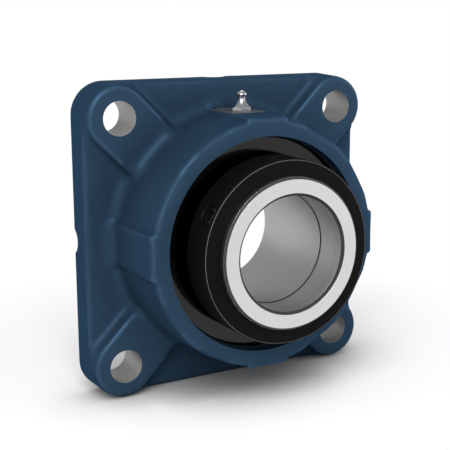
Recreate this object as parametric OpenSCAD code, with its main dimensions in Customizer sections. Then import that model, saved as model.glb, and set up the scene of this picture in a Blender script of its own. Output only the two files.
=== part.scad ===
// Square flange bearing unit: a cast housing on four bolts, with a double-row barrel roller
// bearing that aligns itself, an extended inner ring, a locking collar and a grease nipple.
// The shaft axis lies along Y. The mounting face is the plane Y = 0 and the hub points to -Y.
// Lengths in millimetres, angles in degrees.

/* [Flange] */
// Distance between neighbouring bolt holes
bolt_spacing = 152.4; // [144:0.2:170]
// Diameter of the bolt holes
bolt_hole_d = 20.6; // [16:0.1:26]
// Side of the square flange at its mounting face
flange_w = 193.8; // [188:0.2:212]
// Thickness of the flange between its bosses
flange_t = 17; // [14:0.5:20]
// Height of the bolt bosses over the mounting face
boss_h = 26.4; // [25:0.2:32]
// Diameter of a boss, and width of the web behind it
boss_d = 37.9; // [34:0.1:42]
// Width of the grooves across the mounting face
groove_w = 15; // [8:0.5:22]
// Depth of the grooves across the mounting face
groove_depth = 4.3; // [2:0.1:5]

/* [Hub] */
// Distance from the mounting face to the front of the hub
hub_len = 69.1; // [67:0.1:80]
// Diameter of the hub at its front
hub_d = 150.8; // [148:0.2:160]
// Radial gap around the front seal in the hub's opening
opening_gap = 0.6; // [0.3:0.1:3]
// Width of the four flats on the hub
flat_w = 26.2; // [22:0.2:34]
// Height of the flats over the hub's round wall
flat_rise = 1.3; // [0.6:0.1:3]
// Diameter of the machined seat around the grease nipple
spotface_d = 38; // [30:0.5:46]
// Radius of the cast fillets at the foot of the hub
hub_fillet = 7.5; // [3:0.5:8]
// Radius of the cast fillets at the foot of the bosses and webs
boss_fillet = 6; // [2:0.5:6]
// Radius of the rounded outer edges of the casting
cast_edge = 2.5; // [1:0.1:2.5]

/* [Bearing] */
// Distance from the hub's front to the middle of the bearing
bearing_setback = 32.8; // [31.6:0.1:33.5]
// Width of the outer ring
outer_ring_w = 31; // [30:0.1:31.4]
// Thickness of the outer ring at the middle of its raceway
race_wall = 5.4; // [5:0.1:5.7]
// Diameter of a barrel roller at its middle
roller_d = 14; // [13:0.1:14.4]
// Length of a barrel roller
roller_len = 11.5; // [10.5:0.1:12]
// Half the space between the two rows of rollers
row_gap = 1.99; // [1.8:0.01:2.4]
// Rollers in each row
roller_count = 18; // [14:1:18]
// Wall of the roller cages
cage_wall = 2; // [1.4:0.1:2.4]
// Gap between the rolling parts
roll_gap = 0.25; // [0.15:0.01:0.3]

/* [Inner ring] */
// Bore for the shaft
shaft_d = 68.26; // [60:0.01:70]
// Thickness of the ring's wall beside the rollers
ring_wall = 11.07; // [10.8:0.01:11.3]
// Radial space for the rollers, from the raceway to the inner ring's shoulders
row_space = 14.4; // [14.1:0.1:14.8]
// How far the ring stands out of the hub
ring_reach = 27.9; // [26:0.1:35]
// Chamfer at the ends of the bore
bore_chamfer = 1.8; // [0.5:0.1:2.5]
// Depth of the bore's relief under the set screws
relief_depth = 0.4; // [0.1:0.05:0.6]

/* [Locking collar] */
// Thickness of the collar's wall
collar_wall = 9.8; // [7:0.1:12.8]
// Length of the collar
collar_len = 23; // [18:0.5:24]
// Distance from the collar's front to the end of the inner ring
collar_setback = 5; // [3:0.1:8]
// Diameter of the set screws
screw_d = 12; // [8:0.5:12.7]
// Size of the hexagon socket across its flats
socket_af = 6; // [4:0.1:6.5]
// Distance from the collar's front to the set screws
screw_setback = 8.5; // [7:0.1:12]
// Direction of the first set screw around the shaft
screw_angle = 151.5; // [140:0.5:160]

/* [Seals] */
// Distance from the hub's front to the front seal
seal_setback = 7.6; // [6.5:0.1:8]
// Depth of a seal case
seal_depth = 6.5; // [6:0.1:6.6]
// Thickness of the seal cases' sheet
seal_sheet = 1.5; // [1:0.1:1.8]
// How much smaller than the outer ring the rear seal is, all round
rear_step = 5; // [4:0.1:6]

/* [Grease nipple] */
// Size of the nipple's hexagon across its flats
nipple_af = 11.1; // [9:0.1:13]
// Diameter of the nipple's thread
nipple_thread_d = 9.7; // [7:0.1:11]
// Height of the nipple over its seat
nipple_h = 12.4; // [12:0.1:18]

/* [Hidden] */
$fn = 96;
axis_turn = [90, 0, 0];

// Main sizes that follow the others
bearing_z = hub_len - bearing_setback;
inner_ring_d = shaft_d + 2 * ring_wall;
raceway_d = inner_ring_d + 2 * row_space;
outer_ring_d = raceway_d + 2 * race_wall;
opening_d = outer_ring_d + 2 * opening_gap;
rear_seal_d = outer_ring_d - 2 * rear_step;
collar_d = inner_ring_d + 2 * collar_wall;

// Casting
draft = 2.5;
flank_draft = 10;
corner_r = (flange_w - bolt_spacing) / 2;
hole_place = bolt_spacing / 2;
boss_place = bolt_spacing / sqrt(2);
boss_root = min(boss_fillet, boss_h - flange_t - cast_edge - 1);
flat_place = hub_d / 2 + flat_rise;
flat_step = flat_rise + 2.4;
flat_flank = flat_step * tan(12);
bore_over = 0.1;
pilot_d = rear_seal_d - 13;
pilot_len = bearing_z - outer_ring_w / 2 - 11.2;
pilot_recess_d = rear_seal_d - 6;
pilot_recess_len = pilot_len * 5 / 12;
groove_r = (groove_w * groove_w / 4 + groove_depth * groove_depth) / (2 * groove_depth);
spotface_y = flat_place + (hub_len - bearing_z) * tan(draft) - 0.3;

// Clearances
press_gap = 0.03;
running_gap = 0.05;
side_gap = 0.02;

// Rolling parts, measured from the middle of the bearing
roller_r = roller_d / 2;
race_r = raceway_d / 2;
pitch_r = race_r - roll_gap - roller_r;
barrel_r = race_r - 0.6;
inner_race_r = barrel_r + roll_gap;
contact_angle = asin((roller_len / 2 + row_gap) / pitch_r);
inner_race_place = pitch_r - roller_r + barrel_r;
roller_pitch = 360 / roller_count;
roller_rows = ["front", "rear"];
barrel_steps = 6;
land_half = 0.9;
guide_r = pitch_r * cos(contact_angle) - 1.3;
race_shoulder = roller_len + 2.2;
cage_gap = 0.35;
cage_end = roller_len + 4.1;
cage_rim_top = guide_r + roll_gap + 3.2;
cage_foot_r = inner_ring_d / 2 + 1.2;

// Rings and collar
ring_front_z = hub_len + ring_reach;
ring_rear_z = pilot_len * 11 / 24;
seat_r = outer_ring_d / 2 + press_gap;
front_of_ring = bearing_z + outer_ring_w / 2;
rear_of_ring = bearing_z - outer_ring_w / 2;
snap_t = 3;
snap_deep = 2.4;
snap_inner_r = outer_ring_d / 2 - 6.5;
snap_slot = 6.6;
snap_lug_w = 8;
snap_lug_turn = 10.6;
seal_front_z = hub_len - seal_setback;
rear_seal_z = pilot_len + side_gap;
seal_dish = 1.5;
seal_dish_w = 5.8;
lip_root_r = inner_ring_d / 2 + 4.8;
lip_tip_r = inner_ring_d / 2 + running_gap;
garter_r = 0.8;
garter_place = lip_tip_r + 2.45;
garter_depth = 4.4;
collar_front_z = ring_front_z - collar_setback;
collar_rear_z = collar_front_z - collar_len;
collar_edge = 0.9;
screw_z = collar_front_z - screw_setback;
screw_spread = 62;
screw_angles = [screw_angle, screw_angle - screw_spread];
screw_names = ["set_screw_a", "set_screw_b"];
screw_head_r = collar_d / 2 - 1.4;
screw_tip_r = shaft_d / 2 + 1.9;
relief_front_z = screw_z + screw_d / 2 + 0.6;
relief_rear_z = collar_rear_z + 4.2;

// Grease nipple
nipple_hex_h = 2.6;
nipple_neck_r = 2.2;
nipple_head_r = 3.35;
nipple_bore_r = 1.3;
nipple_mouth_r = 0.95;
nipple_mouth_len = 1.4;
nipple_shank = spotface_y - seat_r - 3.8;
ball_r = 1.15;
ball_place = nipple_h - nipple_mouth_len - sqrt(ball_r * ball_r - nipple_mouth_r * nipple_mouth_r);
spring_wire = 0.16;
spring_r = nipple_bore_r - spring_wire - running_gap;
spring_len = 6;
spring_turns = 6;
spring_top = ball_place - sqrt(ball_r * ball_r - pow(spring_r - spring_wire, 2)) - side_gap;

function roller_name(row, i) = str("roller_", row, "_", i);

// Points of an arc from angle a0 to a1
function arc(x, y, r, a0, a1, steps = 5) =
    [for (i = [0:steps]) let (a = a0 + (a1 - a0) * i / steps) [x + r * cos(a), y + r * sin(a)]];

// Top edge of a wall that leans in by slope and stands at foot_r on the mounting face
function rounded_top(foot_r, top, edge, slope) =
    arc(foot_r - (edge + sin(slope) * (top - edge)) / cos(slope), top - edge, edge, slope, 90, 4);

// Fillet between that wall and the level it rises from
function rounded_foot(foot_r, level, fillet, slope) =
    arc(foot_r + (fillet - sin(slope) * (level + fillet)) / cos(slope), level + fillet, fillet, 270, 180 + slope);

// Half section of the hub, or of a flat on it, whose front is at front_r
function hub_section(front_r, level, fillet) =
    let (foot_r = front_r + hub_len * tan(draft), foot = rounded_foot(foot_r, level, fillet, draft))
    concat([[0, 0], [foot[0][0], 0]], foot, rounded_top(foot_r, hub_len, cast_edge, draft), [[0, hub_len]]);

// Half section of a boss or web
function boss_section() =
    let (foot_r = boss_d / 2 + boss_h * tan(flank_draft), foot = rounded_foot(foot_r, flange_t, boss_root, flank_draft))
    concat([[foot[0][0], 0]], foot, rounded_top(foot_r, boss_h, cast_edge, flank_draft));

// Turns a child from the drawing frame, front upwards, to the part's own frame
module axial() {
    rotate(axis_turn) children();
}

// Repeats a child at the four sides or corners
module four() {
    for (turn = [0:90:270]) rotate([0, 0, turn]) children();
}

// Points a child's Z axis away from the shaft, in the direction given
module outwards(angle) {
    rotate([0, 0, angle]) rotate([0, 90, 0]) children();
}

// Square plate with drafted sides and round corners; edge rounds its upper rim
module drafted_plate(height, edge) {
    rim = edge > 0
        ? rounded_top(corner_r, height, edge, draft)
        : [[corner_r - height * tan(draft), height]];
    four() {
        rotate([90, 0, 0])
            linear_extrude(bolt_spacing, center = true)
                translate([hole_place, 0])
                    polygon(concat([[-hole_place, 0], [corner_r, 0]], rim, [[-hole_place, height]]));
        translate([hole_place, hole_place, 0])
            rotate_extrude()
                polygon(concat([[0, 0], [corner_r, 0]], rim, [[0, height]]));
    }
}

// Boss at one corner with the web that ties it to the hub
module boss_and_web() {
    side = boss_section();
    rotate([0, 0, 45]) {
        translate([boss_place, 0, 0])
            rotate_extrude() polygon(concat([[0, 0]], side, [[0, boss_h]]));
        rotate([90, 0, 90])
            linear_extrude(boss_place)
                polygon(concat(side, [for (i = [len(side) - 1:-1:0]) [-side[i][0], side[i][1]]]));
    }
}

// Cast fillet where a web's top runs into the hub
module web_fillet() {
    half = boss_d / 2 - 1;
    intersection() {
        rotate_extrude() polygon(hub_section(hub_d / 2, boss_h, hub_fillet));
        rotate([90, 0, 135])
            linear_extrude(boss_place)
                polygon([
                    [-half, boss_h - 1], [half, boss_h - 1],
                    [half - hub_fillet, boss_h + hub_fillet], [hub_fillet - half, boss_h + hub_fillet]
                ]);
    }
}

// One of the four flats on the hub
module hub_flat() {
    half = flat_w / 2;
    intersection() {
        rotate([90, 0, 0])
            linear_extrude(flat_w * 2, center = true)
                polygon(hub_section(flat_place, flange_t, hub_fillet));
        linear_extrude(hub_len)
            polygon([
                [0, -half - flat_flank], [flat_place - flat_step, -half - flat_flank], [flat_place, -half],
                [flat_place * 1.3, -half], [flat_place * 1.3, half],
                [flat_place, half], [flat_place - flat_step, half + flat_flank], [0, half + flat_flank]
            ]);
    }
}

module cast_body() {
    drafted_plate(flange_t, cast_edge);
    intersection() {
        four() boss_and_web();
        drafted_plate(boss_h + 1, 0);
    }
    rotate_extrude() polygon(hub_section(hub_d / 2, flange_t, hub_fillet));
    four() {
        web_fillet();
        hub_flat();
    }
}

// Room inside the housing, from the mounting face to the front
module bored_room() {
    shoulder_d = rear_seal_d + 2 * press_gap;
    translate([0, 0, -1]) cylinder(h = pilot_recess_len + 1, d = pilot_recess_d);
    translate([0, 0, -1]) cylinder(h = pilot_len + 2, d = pilot_d);
    translate([0, 0, pilot_len]) cylinder(h = rear_of_ring - pilot_len + 1, d = shoulder_d);
    translate([0, 0, rear_of_ring]) cylinder(h = hub_len, r = seat_r);
    translate([0, 0, front_of_ring + side_gap])
        cylinder(h = snap_t + 2 * side_gap, r = seat_r + snap_deep + bore_over);
    translate([0, 0, seal_front_z]) cylinder(h = hub_len, d = opening_d);
}

// Cast iron housing with its machined holes
module housing() {
    color("#2f4155") axial() difference() {
        cast_body();
        bored_room();
        four() {
            translate([hole_place, hole_place, -1]) cylinder(h = boss_h + 2, d = bolt_hole_d);
            translate([0, 0, groove_depth - groove_r])
                rotate([0, 90, 0]) cylinder(h = flange_w, r = groove_r);
        }
        translate([0, spotface_y, bearing_z])
            rotate([-90, 0, 0]) cylinder(h = hub_d / 4, d = spotface_d);
        translate([0, seat_r - 1, bearing_z])
            rotate([-90, 0, 0]) cylinder(h = hub_d / 4, d = nipple_thread_d + 2 * press_gap);
    }
}

// Turns a grease nipple's piece to stand at height y over the shaft, through the flat on top
module at_nipple(y = 0) {
    axial() translate([0, y, bearing_z]) rotate([-90, 0, 0]) children();
}

// Nipple with its hexagon, flared neck, rounded head and drilled way for the grease
module grease_nipple() {
    head_y = nipple_h - 2.2;
    neck_y = head_y - 2.8;
    color("#c3c0b6") at_nipple(spotface_y) difference() {
        union() {
            intersection() {
                cylinder(h = nipple_hex_h, d = nipple_af / cos(30), $fn = 6);
                cylinder(h = nipple_hex_h, d1 = nipple_af / cos(30) + 4, d2 = nipple_af + 0.4);
            }
            rotate_extrude() polygon(concat(
                [[0, -nipple_shank], [nipple_thread_d / 2 - 0.8, -nipple_shank]],
                [[nipple_thread_d / 2, 0.8 - nipple_shank], [nipple_thread_d / 2, 0.1]],
                [[nipple_af / 2 - 0.2, 0.1], [nipple_af / 2 - 0.2, nipple_hex_h]],
                [for (t = [0.2:0.2:1]) [
                    nipple_neck_r + (nipple_af / 2 - 0.3 - nipple_neck_r) * pow(1 - t, 1.45),
                    nipple_hex_h + (neck_y - nipple_hex_h) * t
                ]],
                [[nipple_neck_r, neck_y + 0.6]],
                [for (t = [-45:21:60]) [nipple_head_r * cos(t), head_y + 1.85 * sin(t)]],
                [[nipple_mouth_r + 0.5, head_y + 1.75], [nipple_mouth_r + 0.35, nipple_h], [0, nipple_h]]
            ));
        }
        translate([0, 0, -nipple_shank - 1]) cylinder(h = nipple_shank + nipple_h + 2, r = nipple_mouth_r);
        translate([0, 0, spring_top - spring_len - side_gap])
            cylinder(h = nipple_h - nipple_mouth_len - spring_top + spring_len + side_gap, r = nipple_bore_r);
    }
}

module nipple_ball() {
    color("silver") at_nipple(spotface_y + ball_place - running_gap / 5) sphere(r = ball_r, $fn = 32);
}

// Coil spring that holds the ball against the nipple's mouth
module nipple_spring() {
    color("silver") at_nipple(spotface_y + spring_top - spring_len)
        linear_extrude(spring_len, twist = -360 * spring_turns, slices = 10 * spring_turns, $fn = 10)
            translate([spring_r, 0]) circle(r = spring_wire, $fn = 6);
}

// Outer ring with its ball-shaped raceway, grease groove and grease holes
module outer_ring() {
    chamfer = 1.5;
    groove = 8;
    deep = 1.2;
    outer_r = outer_ring_d / 2;
    half = outer_ring_w / 2;
    color("#b9bcc0") axial() translate([0, 0, bearing_z]) difference() {
        rotate_extrude() polygon([
            [outer_r - 12, -half], [outer_r - chamfer, -half], [outer_r, chamfer - half],
            [outer_r, -groove / 2], [outer_r - deep, -groove / 2 + deep],
            [outer_r - deep, groove / 2 - deep], [outer_r, groove / 2],
            [outer_r, half - chamfer], [outer_r - chamfer, half], [outer_r - 12, half]
        ]);
        sphere(r = race_r, $fn = 200);
        for (turn = [90, 210, 330]) outwards(turn) cylinder(h = outer_r + 5, d = 4);
    }
}

// Snap ring in its groove in front of the outer ring, with two eyed lugs at its gap
module snap_ring() {
    outer_r = seat_r + snap_deep;
    eye_place = snap_inner_r + 2.6;
    color("#6d7075") axial() translate([0, 0, front_of_ring + 2 * side_gap]) linear_extrude(snap_t) difference() {
        circle(r = outer_r);
        circle(r = snap_inner_r);
        polygon([[0, 0], [-outer_r * tan(snap_slot), -outer_r], [outer_r * tan(snap_slot), -outer_r]]);
        difference() {
            circle(r = snap_inner_r + 2.5);
            for (side = [-1, 1])
                rotate([0, 0, side * snap_lug_turn])
                    translate([-snap_lug_w / 2, -outer_r + 4]) square([snap_lug_w, outer_r - 4]);
        }
        for (side = [-1, 1])
            rotate([0, 0, side * snap_lug_turn]) translate([0, -eye_place]) circle(d = 2.6);
    }
}

// Half section of a seal's pressed steel case, its face at zero and its skirt upwards
module seal_case_section(outer_r, dish) {
    polygon([
        [lip_root_r, 0], [outer_r - seal_dish_w, 0], [outer_r, dish], [outer_r, seal_depth],
        [outer_r - seal_sheet, seal_depth], [outer_r - seal_sheet, dish + seal_sheet],
        [outer_r - seal_dish_w - 0.3, seal_sheet], [lip_root_r, seal_sheet]
    ]);
}

// Half section of a seal's rubber lip with the seat of its garter spring
module seal_lip_section() {
    difference() {
        polygon([
            [lip_root_r, 0], [lip_root_r, seal_sheet], [lip_root_r - 0.6, seal_sheet + 1.2],
            [lip_tip_r + 3.2, garter_depth + 1.2], [lip_tip_r + 1, garter_depth + 1.4],
            [lip_tip_r, garter_depth + 0.2], [lip_tip_r, garter_depth - 0.2],
            [lip_root_r - 2.6, seal_sheet], [lip_tip_r + 0.4, 0.6], [lip_tip_r, 0.2], [lip_tip_r + 0.6, 0]
        ]);
        translate([garter_place, garter_depth]) circle(r = garter_r + running_gap, $fn = 32);
    }
}

// Places a seal's piece; the front seal faces the front and the rear seal the mounting face
module at_seal(row) {
    axial() translate([0, 0, row == "front" ? seal_front_z : rear_seal_z])
        mirror([0, 0, row == "front" ? 1 : 0]) children();
}

module seal_case(row) {
    outer_r = row == "front" ? seat_r - press_gap : rear_seal_d / 2;
    dish = row == "front" ? seal_dish : 0.3;
    color("#55585b") at_seal(row) rotate_extrude() seal_case_section(outer_r, dish);
}

module seal_lip(row) {
    color("#1d1d1e") at_seal(row) rotate_extrude() seal_lip_section();
}

module garter_spring(row) {
    color("silver") at_seal(row)
        rotate_extrude() translate([garter_place, garter_depth]) circle(r = garter_r, $fn = 32);
}

// Distance from the middle plane at which the rollers' inner ends reach radius r
function roller_end(r) = (r * sin(contact_angle) - roller_len / 2) / cos(contact_angle);

// Radius of the inner raceway at distance z from the middle plane
function inner_race(z) =
    inner_race_place * cos(contact_angle)
    - sqrt(pow(inner_race_r, 2) - pow(z - inner_race_place * sin(contact_angle), 2));

// Floating ring between the rows, which carries both cages
module guide_ring() {
    low_r = inner_race(land_half) + roll_gap;
    color("#a9acaf") axial() translate([0, 0, bearing_z]) rotate_extrude() polygon([
        [low_r, roll_gap - roller_end(low_r)], [guide_r, roll_gap - roller_end(guide_r)],
        [guide_r, roller_end(guide_r) - roll_gap], [low_r, roller_end(low_r) - roll_gap]
    ]);
}

// Places a child at roller i of a row, its Z axis along the roller
module at_roller(row, i) {
    side = row == "front" ? 1 : -1;
    shift = row == "front" ? 0 : 0.5;
    translate([0, 0, bearing_z])
        rotate([0, 0, (i - 1 + shift) * roller_pitch])
            rotate([0, -side * contact_angle, 0])
                translate([pitch_r, 0, 0]) children();
}

// Barrel roller
module roller(row, i) {
    half = roller_len / 2;
    end_chamfer = 0.5;
    color("#c9ccd0") axial() at_roller(row, i) rotate_extrude() polygon(concat(
        [[0, -half]],
        [[roller_r - 1, -half]],
        [for (k = [0:barrel_steps]) let (z = (half - end_chamfer) * (2 * k / barrel_steps - 1))
            [roller_r - barrel_r + sqrt(barrel_r * barrel_r - z * z), z]],
        [[roller_r - 1, half]],
        [[0, half]]
    ));
}

// Window cage of one row: inner rim on the guide ring, bars between the rollers, outer rim
module cage(row) {
    wall_in = cage_rim_top - 0.6;
    slope = tan(contact_angle);
    wall_out = wall_in - (cage_end - cage_gap) * slope;
    color("#b08d4c") axial() difference() {
        translate([0, 0, bearing_z]) mirror([0, 0, row == "front" ? 0 : 1]) rotate_extrude() polygon([
            [guide_r + roll_gap, cage_gap], [wall_in, cage_gap], [wall_out, cage_end],
            [cage_foot_r, cage_end], [cage_foot_r, cage_end - cage_wall],
            [wall_out - cage_wall, cage_end - cage_wall],
            [wall_in - cage_wall - 2 * slope, cage_gap + 2], [guide_r + roll_gap, cage_gap + 2]
        ]);
        for (i = [1:roller_count])
            at_roller(row, i)
                cube([roller_d + 2, roller_d + 2 * roll_gap, roller_len + 2 * roll_gap], center = true);
    }
}

// Rollers' ring on the shaft, extended to the front to carry the collar
module inner_ring() {
    outer_r = inner_ring_d / 2;
    bore_r = shaft_d / 2;
    relief_r = bore_r + relief_depth;
    edge = 1.3;
    steps = 8;
    land = inner_race(land_half);
    race = [for (k = [0:steps]) land_half + (race_shoulder - land_half) * k / steps];
    color("#c6c8cb") axial() difference() {
        rotate_extrude() polygon(concat(
            [[bore_r, ring_rear_z + bore_chamfer], [bore_r + bore_chamfer, ring_rear_z]],
            [[outer_r - edge, ring_rear_z], [outer_r, ring_rear_z + edge]],
            [[outer_r, bearing_z - race_shoulder - 1]],
            [for (k = [steps:-1:0]) [inner_race(race[k]), bearing_z - race[k]]],
            [for (z = race) [inner_race(z), bearing_z + z]],
            [[outer_r, bearing_z + race_shoulder + 1]],
            [[outer_r, ring_front_z - edge], [outer_r - edge, ring_front_z]],
            [[bore_r + bore_chamfer, ring_front_z], [bore_r, ring_front_z - bore_chamfer]],
            [[bore_r, relief_front_z], [relief_r, relief_front_z - relief_depth]],
            [[relief_r, relief_rear_z], [bore_r, relief_rear_z]]
        ));
        translate([0, 0, screw_z])
            for (angle = screw_angles) outwards(angle) cylinder(h = collar_d, d = screw_d + 2 * running_gap);
    }
}

// Collar that clamps the inner ring to the shaft with its set screws
module locking_collar() {
    outer_r = collar_d / 2;
    bore_r = inner_ring_d / 2 + running_gap;
    color("#1b1b1c") axial() difference() {
        rotate_extrude() polygon([
            [bore_r, collar_rear_z], [outer_r - collar_edge, collar_rear_z],
            [outer_r, collar_rear_z + collar_edge], [outer_r, collar_front_z - collar_edge],
            [outer_r - collar_edge, collar_front_z], [bore_r + 0.5, collar_front_z],
            [bore_r, collar_front_z - 0.5]
        ]);
        translate([0, 0, screw_z]) for (angle = screw_angles) outwards(angle) {
            cylinder(h = collar_d, d = screw_d + 2 * running_gap);
            translate([0, 0, outer_r - 1]) cylinder(h = 2, d1 = screw_d, d2 = screw_d + 4);
        }
    }
}

// Set screw with a hexagon socket and a cupped point
module set_screw(index) {
    length = screw_head_r - screw_tip_r;
    thread_r = screw_d / 2;
    socket_depth = min(7, length / 2);
    color("#26262a") axial() translate([0, 0, screw_z]) outwards(screw_angles[index])
        translate([0, 0, screw_tip_r]) difference() {
            rotate_extrude() polygon([
                [0, 1.2], [thread_r - 3.2, 0], [thread_r - 2.4, 0], [thread_r, 2.4],
                [thread_r, length - 0.8], [thread_r - 0.8, length], [0, length]
            ]);
            translate([0, 0, length - socket_depth])
                cylinder(h = socket_depth + 1, d = socket_af / cos(30), $fn = 6);
            translate([0, 0, length - 0.5])
                cylinder(h = 1, d1 = socket_af / cos(30) - 0.6, d2 = socket_af / cos(30) + 1.4);
        }
}

housing();
grease_nipple();
nipple_ball();
nipple_spring();
outer_ring();
snap_ring();
seal_case("front");  // seal_case_front
seal_lip("front");  // seal_lip_front
garter_spring("front");  // garter_spring_front
seal_case("rear");  // seal_case_rear
seal_lip("rear");  // seal_lip_rear
garter_spring("rear");  // garter_spring_rear
guide_ring();
cage("front");  // cage_front
cage("rear");  // cage_rear
inner_ring();
locking_collar();
for (index = [0, 1])
    set_screw(index);
for (row = roller_rows, i = [1:roller_count])
    roller(row, i);
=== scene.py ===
"""Square flange bearing unit: the finishes, wound and threaded pieces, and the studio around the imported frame."""

import math

import bmesh
import bpy
import numpy as np
from bpy.props import FloatProperty, FloatVectorProperty, IntProperty, PointerProperty
from bpy.types import Operator, Panel, PropertyGroup
from mathutils import Matrix, Vector


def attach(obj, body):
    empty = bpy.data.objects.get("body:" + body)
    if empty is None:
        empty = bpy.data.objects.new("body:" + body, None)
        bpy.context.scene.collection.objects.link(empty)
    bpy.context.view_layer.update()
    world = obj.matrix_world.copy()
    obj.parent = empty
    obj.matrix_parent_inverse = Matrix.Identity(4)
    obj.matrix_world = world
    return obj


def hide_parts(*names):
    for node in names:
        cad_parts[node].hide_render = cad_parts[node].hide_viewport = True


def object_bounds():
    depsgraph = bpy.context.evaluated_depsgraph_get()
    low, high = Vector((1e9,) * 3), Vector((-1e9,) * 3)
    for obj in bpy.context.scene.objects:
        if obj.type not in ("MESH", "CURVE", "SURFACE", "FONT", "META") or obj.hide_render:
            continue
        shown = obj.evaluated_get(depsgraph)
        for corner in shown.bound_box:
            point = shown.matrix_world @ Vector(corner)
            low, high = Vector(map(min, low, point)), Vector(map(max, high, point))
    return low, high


bl_info = {
    "name": "Flange Bearing Unit",
    "version": (1, 0, 0),
    "blender": (4, 5, 0),
    "location": "View3D > Sidebar > Bearing",
    "description": "Finishes a square flange bearing unit and sets it on a pale studio floor",
    "category": "Object",
}

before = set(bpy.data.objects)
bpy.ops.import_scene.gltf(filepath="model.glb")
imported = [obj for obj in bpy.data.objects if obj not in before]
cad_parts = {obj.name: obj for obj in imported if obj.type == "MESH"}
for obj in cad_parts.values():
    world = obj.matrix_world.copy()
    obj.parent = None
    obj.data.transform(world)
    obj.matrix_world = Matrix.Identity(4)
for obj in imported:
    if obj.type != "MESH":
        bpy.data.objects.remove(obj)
CAD_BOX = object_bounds()

MM = 0.001
# Sizes of the solids that the pieces here sit on, in metres
BOLT_PLACE = 76.2 * MM
BOLT_HOLE_R = 10.3 * MM
BEARING_Y = -36.3 * MM
SPOTFACE_R = 19 * MM
SPOTFACE_Z = 77.832 * MM
NIPPLE_HOLE_R = 4.88 * MM
SEAT_R = 65.03 * MM
WEB_CORNER = (38.8 * MM, 67.1 * MM)
SEAL_Y = -61.5 * MM
BORE_R = 34.13 * MM
RING_FRONT_Y = -97 * MM
BOSS_Y = -26.4 * MM
HUB_Y = -69.1 * MM
FLANGE_HALF = 96.9 * MM
GROOVE_R = 8.69 * MM
GROOVE_Y = 4.39 * MM
# Machined room of the hub from front to back, in millimetres: radius and place along the shaft
ROOM = (
    (65.6, -75), (65.6, -61.5), (65.03, -61.5), (65.03, -54.86), (67.53, -54.86), (67.53, -51.82), (65.03, -51.82),
    (65.03, -20.8), (60.03, -20.8), (60.03, -9.6), (53.5, -9.6), (53.5, -4), (57, -4), (57, 1),
)
SCREW_Y = -83.5 * MM
SCREW_HEAD_R = 53.6 * MM
SCREW_TIP_R = 36.03 * MM
# The screws drawn here are shorter than the way from head to tip by this much
SCREW_SHORT = 0.1 * MM
# Each set screw's node: the body it moves with, and its direction around the shaft in degrees
SCREW_TURNS = {"set_screw_a": ("screw_a", 151.5), "set_screw_b": ("screw_b", 89.5)}
GARTER_R = 47.7 * MM
GARTER_Y = {"garter_spring_front": -57.1 * MM, "garter_spring_rear": -14.02 * MM}
# Outline of the front seal's case in millimetres: radius, place along the shaft, reach of the rounding
CASE_OUTLINE = (
    (50, -60, 0.3), (50, -61.5, 0.3), (65, -61.5, 0.9), (65, -55, 0.3), (63.5, -55, 0.3), (63.5, -60, 0.6),
)

# How far past its own surface the bare metal reaches: bolt holes, spot face outward and in height, seat, back
HOLE_SPARE = 0.06 * MM
SPOT_SPARE = 0.1 * MM
SPOT_HEIGHT = 0.2 * MM
SEAT_SPARE = 0.3 * MM
FACE_SPARE = 0.02 * MM
# Darker tone of the spot face's iron, and its share
SPOT_TONE = (0.075, 0.08, 0.085)
SPOT_SHARE = 0.8
# Tint of the paint's reflection at a flat angle, and the gain of the painted edge highlight, drawn as paler paint,
# against the full paint
PAINT_TINT = (0.3, 0.45, 0.7)
EDGE_HIGHLIGHT_GAIN = 2.4
# Bend of the surface where the painted shade in creases starts and ends, and where the painted highlight on edges
# does
CREASE_SHADE_BEND = (-0.09, -0.02)
EDGE_HIGHLIGHT_BEND = (0.035, 0.110)
# Painted shadow lines in the bore: place, half width of the full line and of its faded edge, and tone
BORE_SHADOW_LINES = ((-73.2 * MM, 0.10 * MM, 0.28 * MM, 0.05), (-90.0 * MM, 0.15 * MM, 0.40 * MM, 0.6))
# Painted shade in the bore's mouth: radius, the depth from the ring's front over which it ends, and tone
MOUTH_R = BORE_R + 1.75 * MM
MOUTH_DEPTH = (1.6 * MM, 1.9 * MM)
MOUTH_SHADE_TONE = 0.16
# Painted shade on the bevel around the ring's front: inner radius, depth from the front, and tone
BEVEL_R = 43.93 * MM
BEVEL_DEPTH = 1.28 * MM
BEVEL_SHADE_TONE = 0.14
# Painted highlight on the rim of the collar's front edge: from this radius out, in front of this place, in this tone
COLLAR_EDGE_HIGHLIGHT = (54.2 * MM, -91.7 * MM, (0.14, 0.14, 0.14))
# The set screws are paler than the collar by this factor
SCREW_TONE = 45

# Zones of wide blending: reach around each web's foot on the hub, and around each flat's foot on the flange
WEB_REACH = 8 * MM
FLAT_REACH = (15 * MM, 7 * MM)
FLAT_END = 87 * MM
# Where a zone ends, in reaches
ZONE_EDGE = 1.7
# Rounding starts this far in front of the mounting face, and wide blending further in front
START = 2 * MM
WEB_START = 15 * MM
FLAT_START = 14 * MM
# On the spot face it starts this far inside the edge; everywhere it comes up over the length of FADE
SPOT_KEEP = 5 * MM
FADE = 3 * MM
# Metal of the casting before its machining: on the back and in the hub, in the holes, at the grooves' sides
ALLOWANCE = 1.6 * MM
HOLE_FILL = 1.0 * MM
GROOVE_FILL = 0.1 * MM
GROOVE_END = FLANGE_HALF - 0.3 * MM
# The nipple's hole is filled from this height on; it and the spot face are cut between these heights
NIPPLE_FILL_Z = 60 * MM
NIPPLE_CUT = (62 * MM, 90 * MM)
SPOT_CUT = (SPOTFACE_Z - 0.03 * MM, 100 * MM)
# The bolt holes' cutters reach this far past both sides, and the long ones end outside the casting
PAST = 5 * MM
OUTSIDE = 120 * MM

# Studio: place and width of each lamp
KEY_LAMP = ((-0.64, -0.92, 0.92), 1.15)
FILL_LAMP = ((1.05, -0.75, 0.40), 0.8)
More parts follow.
